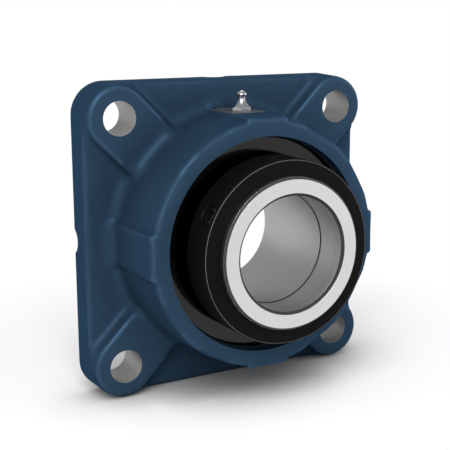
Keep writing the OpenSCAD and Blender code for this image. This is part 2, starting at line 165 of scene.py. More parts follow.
# Half width of the floor, and the distances over which it turns to plain white
FLOOR_REACH = 6.0
FLOOR_FADE = (0.08, 0.27)
# Painted shade on the floor near the object: reach, shares of free room at its dark and at its pale end, darkest
# tone
SHADE = (40 * MM, 0.30, 0.95, 0.42)
# Heights of a mirrored direction over which the white room turns to the ceiling's tone
CEILING_RISE = (0.05, 0.30)
# Camera: azimuth and elevation in degrees, lens in millimetres, shift, and place to its right, up and back
CAMERA_TURN = (-30.177, 11.395)
CAMERA_LENS = 81.63
CAMERA_SHIFT = (-0.0779, -0.0241)
CAMERA_PLACE = (0.02944, 0.006807, 0.67124)


class BearingCasting(PropertyGroup):
    """Paint and bare iron of the housing."""

    paint: FloatVectorProperty(
        name="Paint", description="Colour of the enamel on the casting", subtype="COLOR", size=3, min=0, max=1,
        default=(0.0225, 0.0470, 0.0800),
    )
    iron: FloatVectorProperty(
        name="Bare iron", description="Colour of the machined faces", subtype="COLOR", size=3, min=0, max=1,
        default=(0.315, 0.312, 0.305),
    )
    skin: FloatProperty(
        name="Casting skin", description="Height of the sand texture under the paint", unit="LENGTH",
        default=0.00006, min=0, max=0.001, precision=5,
    )
    # Painted shade: how dark the paint is painted deep in corners
    corners: FloatProperty(
        name="Corner tone", description="Tone of the paint deep in corners", default=0.58, min=0, max=1,
    )
    # Painted highlight: how strongly outer edges are painted paler
    edges: FloatProperty(
        name="Edge tone", description="Strength of the paler paint on outer edges", default=0.42, min=0, max=1,
    )
    grain: FloatProperty(
        name="Grid", description="Spacing of the points of the cast surface", unit="LENGTH",
        default=0.0012, min=0.0011, max=0.003, precision=4,
    )
    rounding: IntProperty(name="Rounding", description="Passes that round every cast edge", default=1, min=0, max=20)
    blending: IntProperty(
        name="Blending", description="Passes that blend webs and flats into hub and flange",
        default=24, min=0, max=120,
    )


class BearingSteel(PropertyGroup):
    """Rings, rollers, cages and collar."""

    ring: FloatVectorProperty(
        name="Ground steel", description="Colour of the inner ring", subtype="COLOR", size=3, min=0, max=1,
        default=(0.66, 0.66, 0.67),
    )
    # The bore's darker colour is partly its rougher ground finish and partly painted shade inside the bore
    bore: FloatVectorProperty(
        name="Bore", description="Colour of the inner ring's bore", subtype="COLOR", size=3, min=0, max=1,
        default=(0.46, 0.46, 0.465),
    )
    collar: FloatVectorProperty(
        name="Black oxide", description="Colour of the collar and its screws", subtype="COLOR", size=3, min=0, max=1,
        default=(0.0032, 0.0032, 0.0033),
    )
    marks: FloatProperty(
        name="Grinding marks", description="Depth of the marks around the rings", unit="LENGTH",
        default=0.00001, min=0, max=0.0002, precision=6,
    )


class BearingSeals(PropertyGroup):
    """Seal cases, rubber lips and their wound springs."""

    case: FloatVectorProperty(
        name="Case", description="Colour of the pressed seal case", subtype="COLOR", size=3, min=0, max=1,
        default=(0.031, 0.031, 0.032),
    )
    rubber: FloatVectorProperty(
        name="Rubber", description="Colour of the seal lips", subtype="COLOR", size=3, min=0, max=1,
        default=(0.018, 0.018, 0.019),
    )
    coil_r: FloatProperty(
        name="Coil radius", description="Outer radius of the garter spring's coil", unit="LENGTH",
        default=0.00078, min=0.0004, max=0.0008, precision=5,
    )
    coils: IntProperty(
        name="Coils", description="Turns of wire around each garter spring", default=360, min=60, max=700,
    )


class BearingScrews(PropertyGroup):
    """Set screws and grease nipple."""

    radius: FloatProperty(
        name="Screw radius", description="Outer radius of the set screws' thread", unit="LENGTH",
        default=0.0060, min=0.004, max=0.0063, precision=4,
    )
    pitch: FloatProperty(
        name="Pitch", description="Pitch of the set screws' thread", unit="LENGTH",
        default=0.00150, min=0.001, max=0.002, precision=5,
    )
    socket: FloatProperty(
        name="Socket", description="Hexagon socket across its flats", unit="LENGTH",
        default=0.0060, min=0.004, max=0.007, precision=4,
    )
    zinc: FloatVectorProperty(
        name="Plating", description="Colour of the grease nipple", subtype="COLOR", size=3, min=0, max=1,
        default=(0.39, 0.40, 0.41),
    )


class BearingStage(PropertyGroup):
    """Floor, light and camera."""

    floor: FloatVectorProperty(
        name="Floor", description="Colour of the floor", subtype="COLOR", size=3, min=0, max=1,
        default=(0.965, 0.965, 0.966),
    )
    sky: FloatProperty(name="Sky", description="Strength of the light from all around", default=0.46, min=0, max=2)
    ceiling: FloatProperty(
        name="Ceiling", description="Brightness of the room above the horizon in reflections",
        default=0.55, min=0, max=1,
    )
    key: FloatProperty(
        name="Key light", description="Power of the large soft lamp", unit="POWER", default=21.0, min=0, max=100,
    )
    fill: FloatProperty(
        name="Fill light", description="Power of the lamp on the right", unit="POWER", default=4.0, min=0, max=100,
    )


class Finish:
    """Builds one material's nodes around a Principled surface."""

    def __init__(self, name):
        self.material = bpy.data.materials.new(name)
        self.material.use_nodes = True
        self.tree = self.material.node_tree
        self.tree.nodes.clear()
        self.surface = self.add("ShaderNodeBsdfPrincipled")
        self.output = self.add("ShaderNodeOutputMaterial")
        self.tree.links.new(self.surface.outputs["BSDF"], self.output.inputs["Surface"])
        self.place = self.add("ShaderNodeTexCoord").outputs["Object"]

    def add(self, kind, **settings):
        node = self.tree.nodes.new(kind)
        for key, value in settings.items():
            setattr(node, key, value)
        return node

    def feed(self, socket, value):
        """Links a socket or sets a plain value."""
        if isinstance(value, bpy.types.NodeSocket):
            self.tree.links.new(value, socket)
        else:
            socket.default_value = value

    def set(self, **values):
        """Sets the surface's own sockets; a name's underscores stand for spaces."""
        for key, value in values.items():
            if not isinstance(value, bpy.types.NodeSocket) and not isinstance(value, (int, float)):
                value = (*value, 1.0)
            self.feed(self.surface.inputs[key.replace("_", " ")], value)

    def math(self, operation, a, b=0.0):
        node = self.add("ShaderNodeMath", operation=operation)
        self.feed(node.inputs[0], a)
        self.feed(node.inputs[1], b)
        return node.outputs[0]

    def times(self, a, b):
        return self.math("MULTIPLY", a, b)

    def below(self, value, limit):
        return self.math("LESS_THAN", value, limit)

    def above(self, value, limit):
        return self.math("GREATER_THAN", value, limit)

    def apart(self, a, b):
        """Distance between two values."""
        return self.math("ABSOLUTE", self.math("SUBTRACT", a, b))

    def length(self, a, b):
        """Length of the longest side of a right triangle."""
        return self.math("SQRT", self.math("ADD", self.times(a, a), self.times(b, b)))

    def parts(self, vector):
        node = self.add("ShaderNodeSeparateXYZ")
        self.feed(node.inputs[0], vector)
        return node.outputs[0], node.outputs[1], node.outputs[2]

    def join(self, x, y, z):
        node = self.add("ShaderNodeCombineXYZ")
        for socket, value in zip(node.inputs, (x, y, z)):
            self.feed(socket, value)
        return node.outputs[0]

    def noise(self, scale, detail=3.0, rough=0.55, place=None):
        """Noise over the object's own coordinates, or over another place."""
        node = self.add("ShaderNodeTexNoise")
        self.feed(node.inputs["Vector"], self.place if place is None else place)
        node.inputs["Scale"].default_value = scale
        node.inputs["Detail"].default_value = detail
        node.inputs["Roughness"].default_value = rough
        return node.outputs["Fac"]

    def ramp(self, value, low, high, to_low, to_high):
        """Carries a value from low..high over to to_low..to_high and holds it at both ends."""
        node = self.add("ShaderNodeMapRange", clamp=True)
        for socket, item in zip(node.inputs, (value, low, high, to_low, to_high)):
            self.feed(socket, item)
        return node.outputs[0]

    def blend(self, share, a, b, mode="MIX"):
        """Colour a, replaced by b by a share."""
        node = self.add("ShaderNodeMix", data_type="RGBA", blend_type=mode)
        self.feed(node.inputs["Factor"], share)
        for socket, value in zip((node.inputs[6], node.inputs[7]), (a, b)):
            if not isinstance(value, bpy.types.NodeSocket):
                value = (*value, 1.0)
            self.feed(socket, value)
        return node.outputs[2]

    def darken(self, colour, value):
        """Multiplies a colour by a value."""
        return self.blend(1.0, colour, self.join(value, value, value), "MULTIPLY")

    def mix(self, share, a, b):
        """Value a, replaced by b by a share."""
        node = self.add("ShaderNodeMix", data_type="FLOAT")
        self.feed(node.inputs["Factor"], share)
        self.feed(node.inputs[2], a)
        self.feed(node.inputs[3], b)
        return node.outputs[0]

    def bump(self, height, distance):
        node = self.add("ShaderNodeBump")
        self.feed(node.inputs["Height"], height)
        node.inputs["Distance"].default_value = distance
        node.inputs["Strength"].default_value = 1.0
        self.feed(self.surface.inputs["Normal"], node.outputs[0])

    def open_share(self, reach, own=True):
        """Share of free room around each point, seen from its own piece alone or from all."""
        node = self.add("ShaderNodeAmbientOcclusion", samples=8, only_local=own)
        node.inputs["Distance"].default_value = reach
        return node.outputs["AO"]

    @staticmethod
    def shades(colour, low, high):
        """A colour's darker and lighter tone."""
        return tuple(min(1.0, c * low) for c in colour), tuple(min(1.0, c * high) for c in colour)

    def turning(self):
        """Radius from the shaft axis, distance along it, and the direction around it."""
        x, y, z = self.parts(self.place)
        return self.length(x, z), y, self.math("ARCTAN2", z, x)


def painted_casting(sizes):
    """Enamel over sand-cast iron, with the machined faces and holes left bare."""
    f = Finish("painted_casting")
    x, y, z = f.parts(f.place)
    radius = f.length(x, z)
    # Machined places: bolt holes, spot face, bearing seat, pilot and mounting face
    hole = f.length(f.apart(f.math("ABSOLUTE", x), BOLT_PLACE), f.apart(f.math("ABSOLUTE", z), BOLT_PLACE))
    spot = f.length(x, f.apart(y, BEARING_Y))
    seat = f.times(f.below(spot, SPOTFACE_R + SPOT_SPARE), f.below(f.apart(z, SPOTFACE_Z), SPOT_HEIGHT))
    bore = f.times(f.below(radius, SEAT_R + SEAT_SPARE), f.above(y, SEAL_Y))
    bare = f.below(hole, BOLT_HOLE_R + HOLE_SPARE)
    for mask in (seat, bore, f.above(y, -FACE_SPARE)):
        bare = f.math("MAXIMUM", bare, mask)
    # Paint with broad clouds and a fine mottle
    broad = f.noise(22, 2.0)
    fine = f.noise(260, 4.0, 0.6)
    dark, light = f.shades(sizes.paint, 0.93, 1.08)
    paint = f.blend(broad, dark, light)
    deep, clear = f.shades(sizes.paint, 0.9, 1.12)
    paint = f.blend(f.ramp(fine, 0.35, 0.65, 0.0, 0.35), paint, f.blend(fine, deep, clear))
    # Painted shade darkens the paint in corners and creases, and a painted highlight makes it paler over outer edges
    bend = f.add("ShaderNodeAttribute", attribute_name="bend").outputs["Fac"]
    crease_shade = f.ramp(bend, *CREASE_SHADE_BEND, 0.8, 1.0)
    corner = f.ramp(f.open_share(30 * MM), 0.35, 1.0, sizes.corners, 1.0)
    paint = f.darken(paint, f.times(corner, crease_shade))
    painted_highlight = tuple(min(1.0, EDGE_HIGHLIGHT_GAIN * c) for c in sizes.paint)
    paint = f.blend(f.ramp(bend, *EDGE_HIGHLIGHT_BEND, 0.0, sizes.edges), paint, painted_highlight)
    # Bare iron with fine cutter marks
    marks = f.noise(1400, 3.0, 0.6, f.join(f.times(hole, 3.0), f.times(y, 3.0), f.times(radius, 3.0)))
    low, high = f.shades(sizes.iron, 0.8, 1.15)
    iron = f.blend(marks, low, high)
    iron = f.blend(f.times(seat, SPOT_SHARE), iron, SPOT_TONE)
    f.set(
        Base_Color=f.blend(bare, paint, iron),
        Metallic=f.mix(bare, 0.3, 0.7),
        Roughness=f.mix(bare, f.ramp(fine, 0.3, 0.7, 0.36, 0.44), 0.42),
        Specular_IOR_Level=f.mix(bare, 0.0, 0.5),
        Specular_Tint=f.blend(bare, PAINT_TINT, (1.0, 1.0, 1.0)),
    )
    sand = f.math("ADD", f.times(f.noise(420, 4.0, 0.62), 0.6), f.times(f.noise(95, 2.0), 0.9))
    f.bump(f.mix(bare, sand, f.times(marks, 0.25)), sizes.skin)
    return f.material


def turned_steel(name, colour, rough, marks, bore=None):
    """Steel with fine marks that run around the shaft axis; its bore can have a tone of its own."""
    f = Finish(name)
    radius, along, around = f.turning()
    lines = f.noise(2600, 3.0, 0.65, f.join(radius, along, f.times(around, 0.0004)))
    broad = f.noise(38, 3.0, 0.6)
    low, high = f.shades(colour, 0.94, 1.06)
    tone = f.blend(broad, low, high)
    dark, light = f.shades(colour, 0.88, 1.08)
    tone = f.blend(0.35, tone, f.blend(lines, dark, light))
    if bore is not None:
        # Bore with painted shadow lines and painted shade in its mouth, and painted shade on the bevel around the
        # ring's front
        inner = f.below(radius, MOUTH_R)
        from_front = f.math("SUBTRACT", along, RING_FRONT_Y)
        mouth = f.ramp(from_front, *MOUTH_DEPTH, MOUTH_SHADE_TONE, 1.0)
        shade = mouth
        for place, line, edge, dim in BORE_SHADOW_LINES:
            shade = f.times(shade, f.ramp(f.apart(along, place), line, edge, dim, 1.0))
        ground = f.blend(lines, *f.shades(bore, 0.94, 1.06))
        tone = f.blend(inner, tone, f.darken(ground, shade))
        bevel = f.times(f.above(radius, BEVEL_R), f.below(from_front, BEVEL_DEPTH))
        tone = f.blend(bevel, tone, tuple(BEVEL_SHADE_TONE * c for c in colour))
        dull = f.math("MAXIMUM", bevel, f.times(inner, f.below(mouth, 0.5)))
        rough = f.mix(dull, f.mix(inner, rough, 0.42), 0.85)
    uneven = f.math("ADD", f.times(lines, 0.6), f.times(broad, 0.4))
    f.set(
        Base_Color=tone,
        Metallic=1.0,
        Roughness=f.ramp(uneven, 0.35, 0.65, f.math("SUBTRACT", rough, 0.05), f.math("ADD", rough, 0.06)),
    )
    f.bump(lines, marks)
    return f.material


def mottled(name, colour, rough, metallic, scale=700, height=0.00003, spread=0.25, gloss=0.5, rim_highlight=None):
    """Finely mottled finish of oxide, phosphate, plating or rubber."""
    f = Finish(name)
    grain = f.noise(scale, 4.0, 0.65)
    cloud = f.noise(60, 3.0, 0.6)
    low, high = f.shades(colour, 1 - spread, 1 + spread)
    dark, light = f.shades(colour, 0.9, 1.12)
    tone = f.blend(f.ramp(cloud, 0.3, 0.7, 0.25, 0.6), f.blend(cloud, dark, light), f.blend(grain, low, high))
    if rim_highlight is not None:
        # Painted highlight on a rim: from a radius out and in front of a place along the shaft
        rim_radius, rim_place, bright = rim_highlight
        radius, along, _ = f.turning()
        tone = f.blend(f.times(f.above(radius, rim_radius), f.below(along, rim_place)), tone, bright)
    f.set(
        Base_Color=tone,
        Metallic=metallic,
        Roughness=f.ramp(grain, 0.3, 0.7, max(0.05, rough - 0.07), min(1.0, rough + 0.07)),
        Specular_IOR_Level=gloss,
    )
    f.bump(grain, height)
    return f.material


def new_piece(name, mesh, material, body, node):
    """Links a finished mesh as a piece that rides on a body and stands for its CAD node."""
    piece = bpy.data.objects.new(name, mesh)
    bpy.context.scene.collection.objects.link(piece)
    mesh.materials.clear()
    mesh.materials.append(material)
    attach(piece, body)
    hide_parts(node)


def bar(work, radius, low, high, axis, place, steps=128):
    """Adds a closed round bar from low to high along an axis; place holds its other two coordinates."""
    centre = list(place)
    centre.insert("XYZ".index(axis), (low + high) / 2)
    matrix = Matrix.Translation(centre)
    if axis != "Z":
        matrix @= Matrix.Rotation(math.pi / 2, 4, "Y" if axis == "X" else "X")
    bmesh.ops.create_cone(
        work, cap_ends=True, segments=steps, radius1=radius, radius2=radius, depth=high - low, matrix=matrix,
    )


def bolt_holes(work, radius, low, high):
    """Adds a bar in each of the four bolt holes."""
    for x in (-BOLT_PLACE, BOLT_PLACE):
        for z in (-BOLT_PLACE, BOLT_PLACE):
            bar(work, radius, low, high, "Y", (x, z))


def block(work, low, high):
    """Adds a closed block between two corners."""
    low, high = Vector(low), Vector(high)
    matrix = Matrix.Translation((low + high) / 2) @ Matrix.Diagonal((high - low).to_4d())
    bmesh.ops.create_cube(work, size=1, matrix=matrix)


def drawn(name, mesh):
    """Links a mesh, or what a function draws, as a helper object that is removed later."""
    if callable(mesh):
        work = bmesh.new()
        mesh(work)
        bmesh.ops.recalc_face_normals(work, faces=work.faces)
        mesh = bpy.data.meshes.new(name)
        work.to_mesh(mesh)
        work.free()
    helper = bpy.data.objects.new(name, mesh)
    bpy.context.scene.collection.objects.link(helper)
    return helper


def evaluated(helper):
    """The helper's mesh after its modifiers; the helper itself goes."""
    bpy.context.view_layer.update()
    mesh = bpy.data.meshes.new_from_object(helper.evaluated_get(bpy.context.evaluated_depsgraph_get()))
    if not len(mesh.polygons):
        raise RuntimeError("empty result: " + helper.name)
    bpy.data.objects.remove(helper)
    return mesh


def cast_surface(grain):
    """The casting before its machining, as an even grid: holes and grooves filled, back face moved out."""
    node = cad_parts["housing"]

    def raw(work):
        work.from_mesh(node.data)
        work.transform(node.matrix_world)
        bmesh.ops.remove_doubles(work, verts=work.verts, dist=1e-6)
        for vert in work.verts:
            if vert.co.y > -0.01 * MM:
                vert.co.y = ALLOWANCE
        bolt_holes(work, BOLT_HOLE_R + HOLE_FILL, BOSS_Y, ALLOWANCE)
        bar(work, SEAT_R + ALLOWANCE, HUB_Y, ALLOWANCE, "Y", (0, 0), 192)
        bar(work, NIPPLE_HOLE_R + HOLE_FILL, NIPPLE_FILL_Z, SPOTFACE_Z, "Z", (0, BEARING_Y))
        half, deep = GROOVE_R + GROOVE_FILL, GROOVE_Y - GROOVE_R - HOLE_FILL
        block(work, (-GROOVE_END, deep, -half), (GROOVE_END, ALLOWANCE, half))
        block(work, (-half, deep, -GROOVE_END), (half, ALLOWANCE, GROOVE_END))

    helper = drawn("raw_casting", raw)
    grid = helper.modifiers.new("grid", "REMESH")
    grid.mode = "VOXEL"
    grid.voxel_size = grain
    return evaluated(helper)


def softened(mesh, sizes):
    """Rounds the cast surface: a little everywhere, widely where webs meet the hub and flats meet the flange."""
    count = len(mesh.vertices)
    place = np.empty(count * 3)
    mesh.vertices.foreach_get("co", place)
    place = place.reshape(-1, 3)
    ends = np.empty(len(mesh.edges) * 2, dtype=np.int64)
    mesh.edges.foreach_get("vertices", ends)
    first, second = ends.reshape(-1, 2).T
    links = np.bincount(ends, minlength=count)

    def share(value):
        return np.clip(value, 0, 1)

    def around(values):
        """Sum of the values at each point's neighbours."""
        return np.bincount(first, values[second], count) + np.bincount(second, values[first], count)

    x, y, z = place.T
    wide, tall = np.abs(x), np.abs(z)
    low, high = np.minimum(wide, tall), np.maximum(wide, tall)
    free = share((-y - START) / FADE)
    spot = np.hypot(x, y - BEARING_Y)
    free *= np.where(z > SPOTFACE_Z - START, share((spot - SPOTFACE_R + SPOT_KEEP) / FADE), 1)
    from_web = np.hypot(low - WEB_CORNER[0], high - WEB_CORNER[1]) / WEB_REACH
    from_flat = np.hypot(low / FLAT_REACH[0], (high - FLAT_END) / FLAT_REACH[1])
    web = share(ZONE_EDGE - from_web) * share((-y - WEB_START) / FADE)
    flat = share(ZONE_EDGE - from_flat) * share((-y - FLAT_START) / FADE)
    broad = free * np.maximum(web, flat)
    # Each pass moves a point up to half way towards the mean of its neighbours
    for i in range(max(sizes.rounding, sizes.blending)):
        weight = np.zeros(count)
        if i < sizes.rounding:
            weight = free.copy()
        if i < sizes.blending:
            weight = np.maximum(weight, broad)
        mean = np.stack([around(place[:, k]) for k in range(3)], axis=1) / links[:, None]
        place += 0.5 * weight[:, None] * (mean - place)
    # How sharply each point's surroundings bend: above zero on outer edges, below in corners
    normals = np.empty(count * 3)
    mesh.vertices.foreach_set("co", place.ravel())
    mesh.update()
    mesh.vertices.foreach_get("normal", normals)
    bend = -((mean - place) * normals.reshape(-1, 3)).sum(axis=1) / sizes.grain
    bend = 0.5 * bend + 0.5 * around(bend) / links
    mesh.attributes.new("bend", "FLOAT", "POINT").data.foreach_set("value", bend.astype(np.float32))
    place[:, 0] = np.clip(place[:, 0], -FLANGE_HALF, FLANGE_HALF)
    place[:, 2] = np.clip(place[:, 2], -FLANGE_HALF, FLANGE_HALF)
    place[:, 1] = np.maximum(place[:, 1], HUB_Y)
    mesh.vertices.foreach_set("co", place.ravel())
    mesh.update()
    return mesh


def machined(mesh):
    """Cuts the cast surface by the housing's machining and grooves."""
    outline = ((0, ROOM[0][1]), *ROOM, (0, ROOM[-1][1]))
    room = turned("room", [Vector(corner) * MM for corner in outline])
    cutters = (
        lambda w: block(w, (-OUTSIDE, 0, -OUTSIDE), (OUTSIDE, 10 * MM, OUTSIDE)),
        lambda w: bolt_holes(w, BOLT_HOLE_R, BOSS_Y - PAST, PAST),
        room,
        lambda w: bar(w, NIPPLE_HOLE_R, *NIPPLE_CUT, "Z", (0, BEARING_Y)),
        lambda w: bar(w, SPOTFACE_R, *SPOT_CUT, "Z", (0, BEARING_Y)),
        lambda w: bar(w, GROOVE_R, -OUTSIDE, OUTSIDE, "X", (GROOVE_Y, 0)),
        lambda w: bar(w, GROOVE_R, -OUTSIDE, OUTSIDE, "Z", (0, GROOVE_Y)),
    )
    body = drawn("casting", mesh)
    helpers = [drawn("cutter", cutter) for cutter in cutters]
    for helper in helpers:
        cut = body.modifiers.new("cut", "BOOLEAN")
        cut.operation = "DIFFERENCE"
        cut.solver = "MANIFOLD"
        cut.object = helper
    result = evaluated(body)
    for helper in helpers:
        bpy.data.objects.remove(helper)
    return tidy(result, angle=38)


def profile(*corners):
    """Outline in metres from (radius, place along the shaft, reach of the rounding) in millimetres."""
    points = []
    for i, (r, y, soft) in enumerate(corners):
        here = Vector((r, y))
        if not soft:
            points.append(here * MM)
            continue
        back = (Vector(corners[i - 1][:2]) - here).normalized()
        ahead = (Vector(corners[(i + 1) % len(corners)][:2]) - here).normalized()
        for t in (0, 0.25, 0.5, 0.75, 1):
            points.append((here + back * soft * (1 - t) ** 2 + ahead * soft * t ** 2) * MM)
    return points


def turned(name, points, steps=240):
    """Closed ring-shaped mesh: the outline turned about the shaft axis."""
    count = len(points)
    places, faces = [], []
    for i in range(steps):
        angle = 2 * math.pi * i / steps
        places += [(r * math.cos(angle), y, r * math.sin(angle)) for r, y in points]
        ahead = (i + 1) % steps
        for j in range(count):
            k = (j + 1) % count
            faces.append((i * count + j, ahead * count + j, ahead * count + k, i * count + k))
    mesh = bpy.data.meshes.new(name)
    mesh.from_pydata(places, [], faces)
    return tidy(mesh)


def tidy(mesh, angle=35):
    """Turns the normals outward and shades the mesh smooth up to an angle."""
    work = bmesh.new()
    work.from_mesh(mesh)
    bmesh.ops.remove_doubles(work, verts=work.verts, dist=1e-7)
    bmesh.ops.dissolve_degenerate(work, edges=work.edges, dist=1e-7)
    bmesh.ops.recalc_face_normals(work, faces=work.faces)
    work.to_mesh(mesh)
    work.free()
    mesh.shade_smooth()
    mesh.set_sharp_from_angle(angle=math.radians(angle))
    return mesh


class Nodes:
    """Writes one Geometry Nodes tree, whose named inputs are set on its modifier."""

    def __init__(self, name):
        self.tree = bpy.data.node_groups.new(name, "GeometryNodeTree")
        self.values = {}
        self.source = self.tree.nodes.new("NodeGroupInput")
        self.tree.interface.new_socket("Geometry", in_out="OUTPUT", socket_type="NodeSocketGeometry")

    def input(self, name, value, kind="NodeSocketFloat"):
        socket = self.tree.interface.new_socket(name, in_out="INPUT", socket_type=kind)
        self.values[socket.identifier] = value
        return self.source.outputs[name]

    def add(self, kind, *inputs, **settings):
        """Adds a node; inputs are (socket, value or output) pairs."""
        node = self.tree.nodes.new(kind)
        for key, value in settings.items():
            setattr(node, key, value)
        for socket, value in inputs:
            if isinstance(value, bpy.types.NodeSocket):
                self.tree.links.new(value, node.inputs[socket])
            else:
                node.inputs[socket].default_value = value
        return node

    def math(self, operation, a, b=0.0):
        return self.add("ShaderNodeMath", (0, a), (1, b), operation=operation).outputs[0]

    def join(self, x, y, z):
        return self.add("ShaderNodeCombineXYZ", (0, x), (1, y), (2, z)).outputs[0]

    def mesh(self, geometry, material, matrix=None):
        """Evaluates the tree once and returns its result as a plain mesh."""
        geometry = self.add("GeometryNodeRealizeInstances", (0, geometry)).outputs[0]
        geometry = self.add("GeometryNodeSetMaterial", ("Geometry", geometry), ("Material", material)).outputs[0]
        self.add("NodeGroupOutput", (0, geometry))
        holder = drawn(self.tree.name, bpy.data.meshes.new("holder"))
        steps = holder.modifiers.new("steps", "NODES")
        steps.node_group = self.tree
        for key, value in self.values.items():
            steps[key] = value
        mesh = evaluated(holder)
        if matrix is not None:
            mesh.transform(matrix)
        return tidy(mesh)


def wound_ring(name, ring_radius, place, coil_radius, coils, material):
    """Garter spring: one wire wound in coils around a closed ring."""
    points_per_coil, wire_share, sides = 8, 0.22, 5
    n = Nodes(name)
    ring = n.input("Ring radius", ring_radius)
    coil = n.input("Coil radius", coil_radius)
    turns = n.input("Coils", coils, "NodeSocketInt")
    along = n.input("Place along the shaft", place)
    count = n.math("MULTIPLY", turns, points_per_coil)
    line = n.add("GeometryNodeMeshLine", ("Count", count)).outputs[0]
    share = n.math("DIVIDE", n.add("GeometryNodeInputIndex").outputs[0], count)
    around = n.math("MULTIPLY", share, 2 * math.pi)
    twist = n.math("MULTIPLY", around, turns)
    wire = n.math("MULTIPLY", coil, wire_share)
    reach = n.math("SUBTRACT", coil, wire)
    radius = n.math("ADD", ring, n.math("MULTIPLY", reach, n.math("COSINE", twist)))
    place = n.join(
        n.math("MULTIPLY", radius, n.math("COSINE", around)),
        n.math("ADD", along, n.math("MULTIPLY", reach, n.math("SINE", twist))),
        n.math("MULTIPLY", radius, n.math("SINE", around)),
    )
    line = n.add("GeometryNodeSetPosition", ("Geometry", line), ("Position", place)).outputs[0]
    curve = n.add("GeometryNodeMeshToCurve", (0, line)).outputs[0]
    curve = n.add("GeometryNodeSetSplineCyclic", (0, curve), ("Cyclic", True)).outputs[0]
    round_wire = n.add("GeometryNodeCurvePrimitiveCircle", ("Resolution", sides), ("Radius", wire)).outputs[0]
    tube = n.add("GeometryNodeCurveToMesh", ("Curve", curve), ("Profile Curve", round_wire)).outputs[0]
    return n.mesh(tube, material)


def threaded_screw(name, sizes, length, material, matrix):
    """Set screw along +Z with a cut thread, chamfered ends and a hexagon socket in its head."""
    # Thread form: flank slope, width taken by the crest, limit of the root; cut and end chamfer in pitches
    slope, crest, root, deep, bevel = 2.6, 0.25, 0.9, 0.55, 0.75
    n = Nodes(name)
    radius = n.input("Radius", sizes.radius)
    pitch = n.input("Pitch", sizes.pitch)
    flats = n.input("Socket across flats", sizes.socket)
    long = n.input("Length", length)
    rod = n.add(
        "GeometryNodeMeshCylinder", ("Vertices", 48), ("Side Segments", 150), ("Radius", radius), ("Depth", long),
    ).outputs[0]
    x, y, z = n.add("ShaderNodeSeparateXYZ", (0, n.add("GeometryNodeInputPosition").outputs[0])).outputs[0:3]
    turn = n.math("DIVIDE", n.math("ARCTAN2", y, x), 2 * math.pi)
    phase = n.math("FRACT", n.math("SUBTRACT", n.math("DIVIDE", z, pitch), turn))
    flank = n.math("ABSOLUTE", n.math("SUBTRACT", phase, 0.5))
    cut = n.math("SUBTRACT", n.math("MULTIPLY", flank, slope), crest)
    cut = n.math("MINIMUM", n.math("MAXIMUM", cut, 0.0), root)
    depth = n.math("MULTIPLY", cut, n.math("MULTIPLY", pitch, deep))
    end = n.math("SUBTRACT", n.math("MULTIPLY", long, 0.5), n.math("ABSOLUTE", z))
    chamfer = n.math("MAXIMUM", n.math("SUBTRACT", n.math("MULTIPLY", pitch, bevel), end), 0.0)
    scale = n.math("SUBTRACT", 1.0, n.math("DIVIDE", n.math("MAXIMUM", depth, chamfer), radius))
    place = n.join(n.math("MULTIPLY", x, scale), n.math("MULTIPLY", y, scale), z)
    rod = n.add("GeometryNodeSetPosition", ("Geometry", rod), ("Position", place)).outputs[0]
    half = n.math("MULTIPLY", long, 0.5)
    corner = n.math("DIVIDE", flats, math.sqrt(3))
    key = n.add("GeometryNodeMeshCylinder", ("Vertices", 6), ("Radius", corner), ("Depth", half)).outputs[0]
    key = n.add("GeometryNodeTransform", ("Geometry", key), ("Translation", n.join(0.0, 0.0, half))).outputs[0]
    screw = n.add(
        "GeometryNodeMeshBoolean", ("Mesh 1", rod), ("Mesh 2", key), operation="DIFFERENCE", solver="MANIFOLD",
    ).outputs[0]
    return n.mesh(screw, material, matrix)


def dress(material, *names):
    """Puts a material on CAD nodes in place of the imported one."""
    for name in names:
        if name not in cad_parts:
            raise RuntimeError("no such node: " + name)
        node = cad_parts[name]
        for slot in node.material_slots:
            slot.material = material


def at_screw(turn):
    """Turns a screw drawn along +Z, its head's end up, to its hole in the collar."""
    angle = math.radians(turn)
    out = Vector((math.cos(angle), 0, math.sin(angle)))
    side = Vector((0, 1, 0))
    matrix = Matrix((out.cross(side) * -1, side, out)).transposed().to_4x4()
    matrix.translation = Vector((0, SCREW_Y, 0))
    return matrix


class BEARING_OT_casting(Operator):
    """Paint the cast housing and leave its machined places bare"""

    bl_idname = "bearing.casting"
    bl_label = "Cast Housing"

    def execute(self, context):
        sizes = context.scene.bearing_casting
        paint = painted_casting(sizes)
        mesh = machined(softened(cast_surface(sizes.grain), sizes))
        new_piece("cast_housing", mesh, paint, "base", "housing")
        return {"FINISHED"}


class BEARING_OT_rings(Operator):
    """Finish the inner ring, outer ring, guide ring and snap ring"""

    bl_idname = "bearing.rings"
    bl_label = "Rings"

    def execute(self, context):
        steel = context.scene.bearing_steel
        dress(turned_steel("ground_ring", steel.ring, 0.30, steel.marks, steel.bore), "inner_ring")
        dress(turned_steel("bearing_rings", steel.ring, 0.28, steel.marks), "outer_ring", "guide_ring")
        dress(mottled("phosphated", (0.06, 0.06, 0.062), rough=0.5, metallic=0.5), "snap_ring")
        return {"FINISHED"}


class BEARING_OT_rollers(Operator):
    """Finish the rollers and the two cages"""

    bl_idname = "bearing.rollers"
    bl_label = "Rollers and Cages"

    def execute(self, context):
        names = [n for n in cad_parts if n.startswith("roller_")]
        bright = mottled("polished_rollers", (0.66, 0.67, 0.68), 0.16, 1.0, scale=1500, height=0.000004, spread=0.05)
        dress(bright, *names)
        pressed = mottled("pressed_cage", (0.38, 0.37, 0.35), 0.38, 0.9, scale=900, height=0.00001, spread=0.12)
        dress(pressed, "cage_front", "cage_rear")
        return {"FINISHED"}


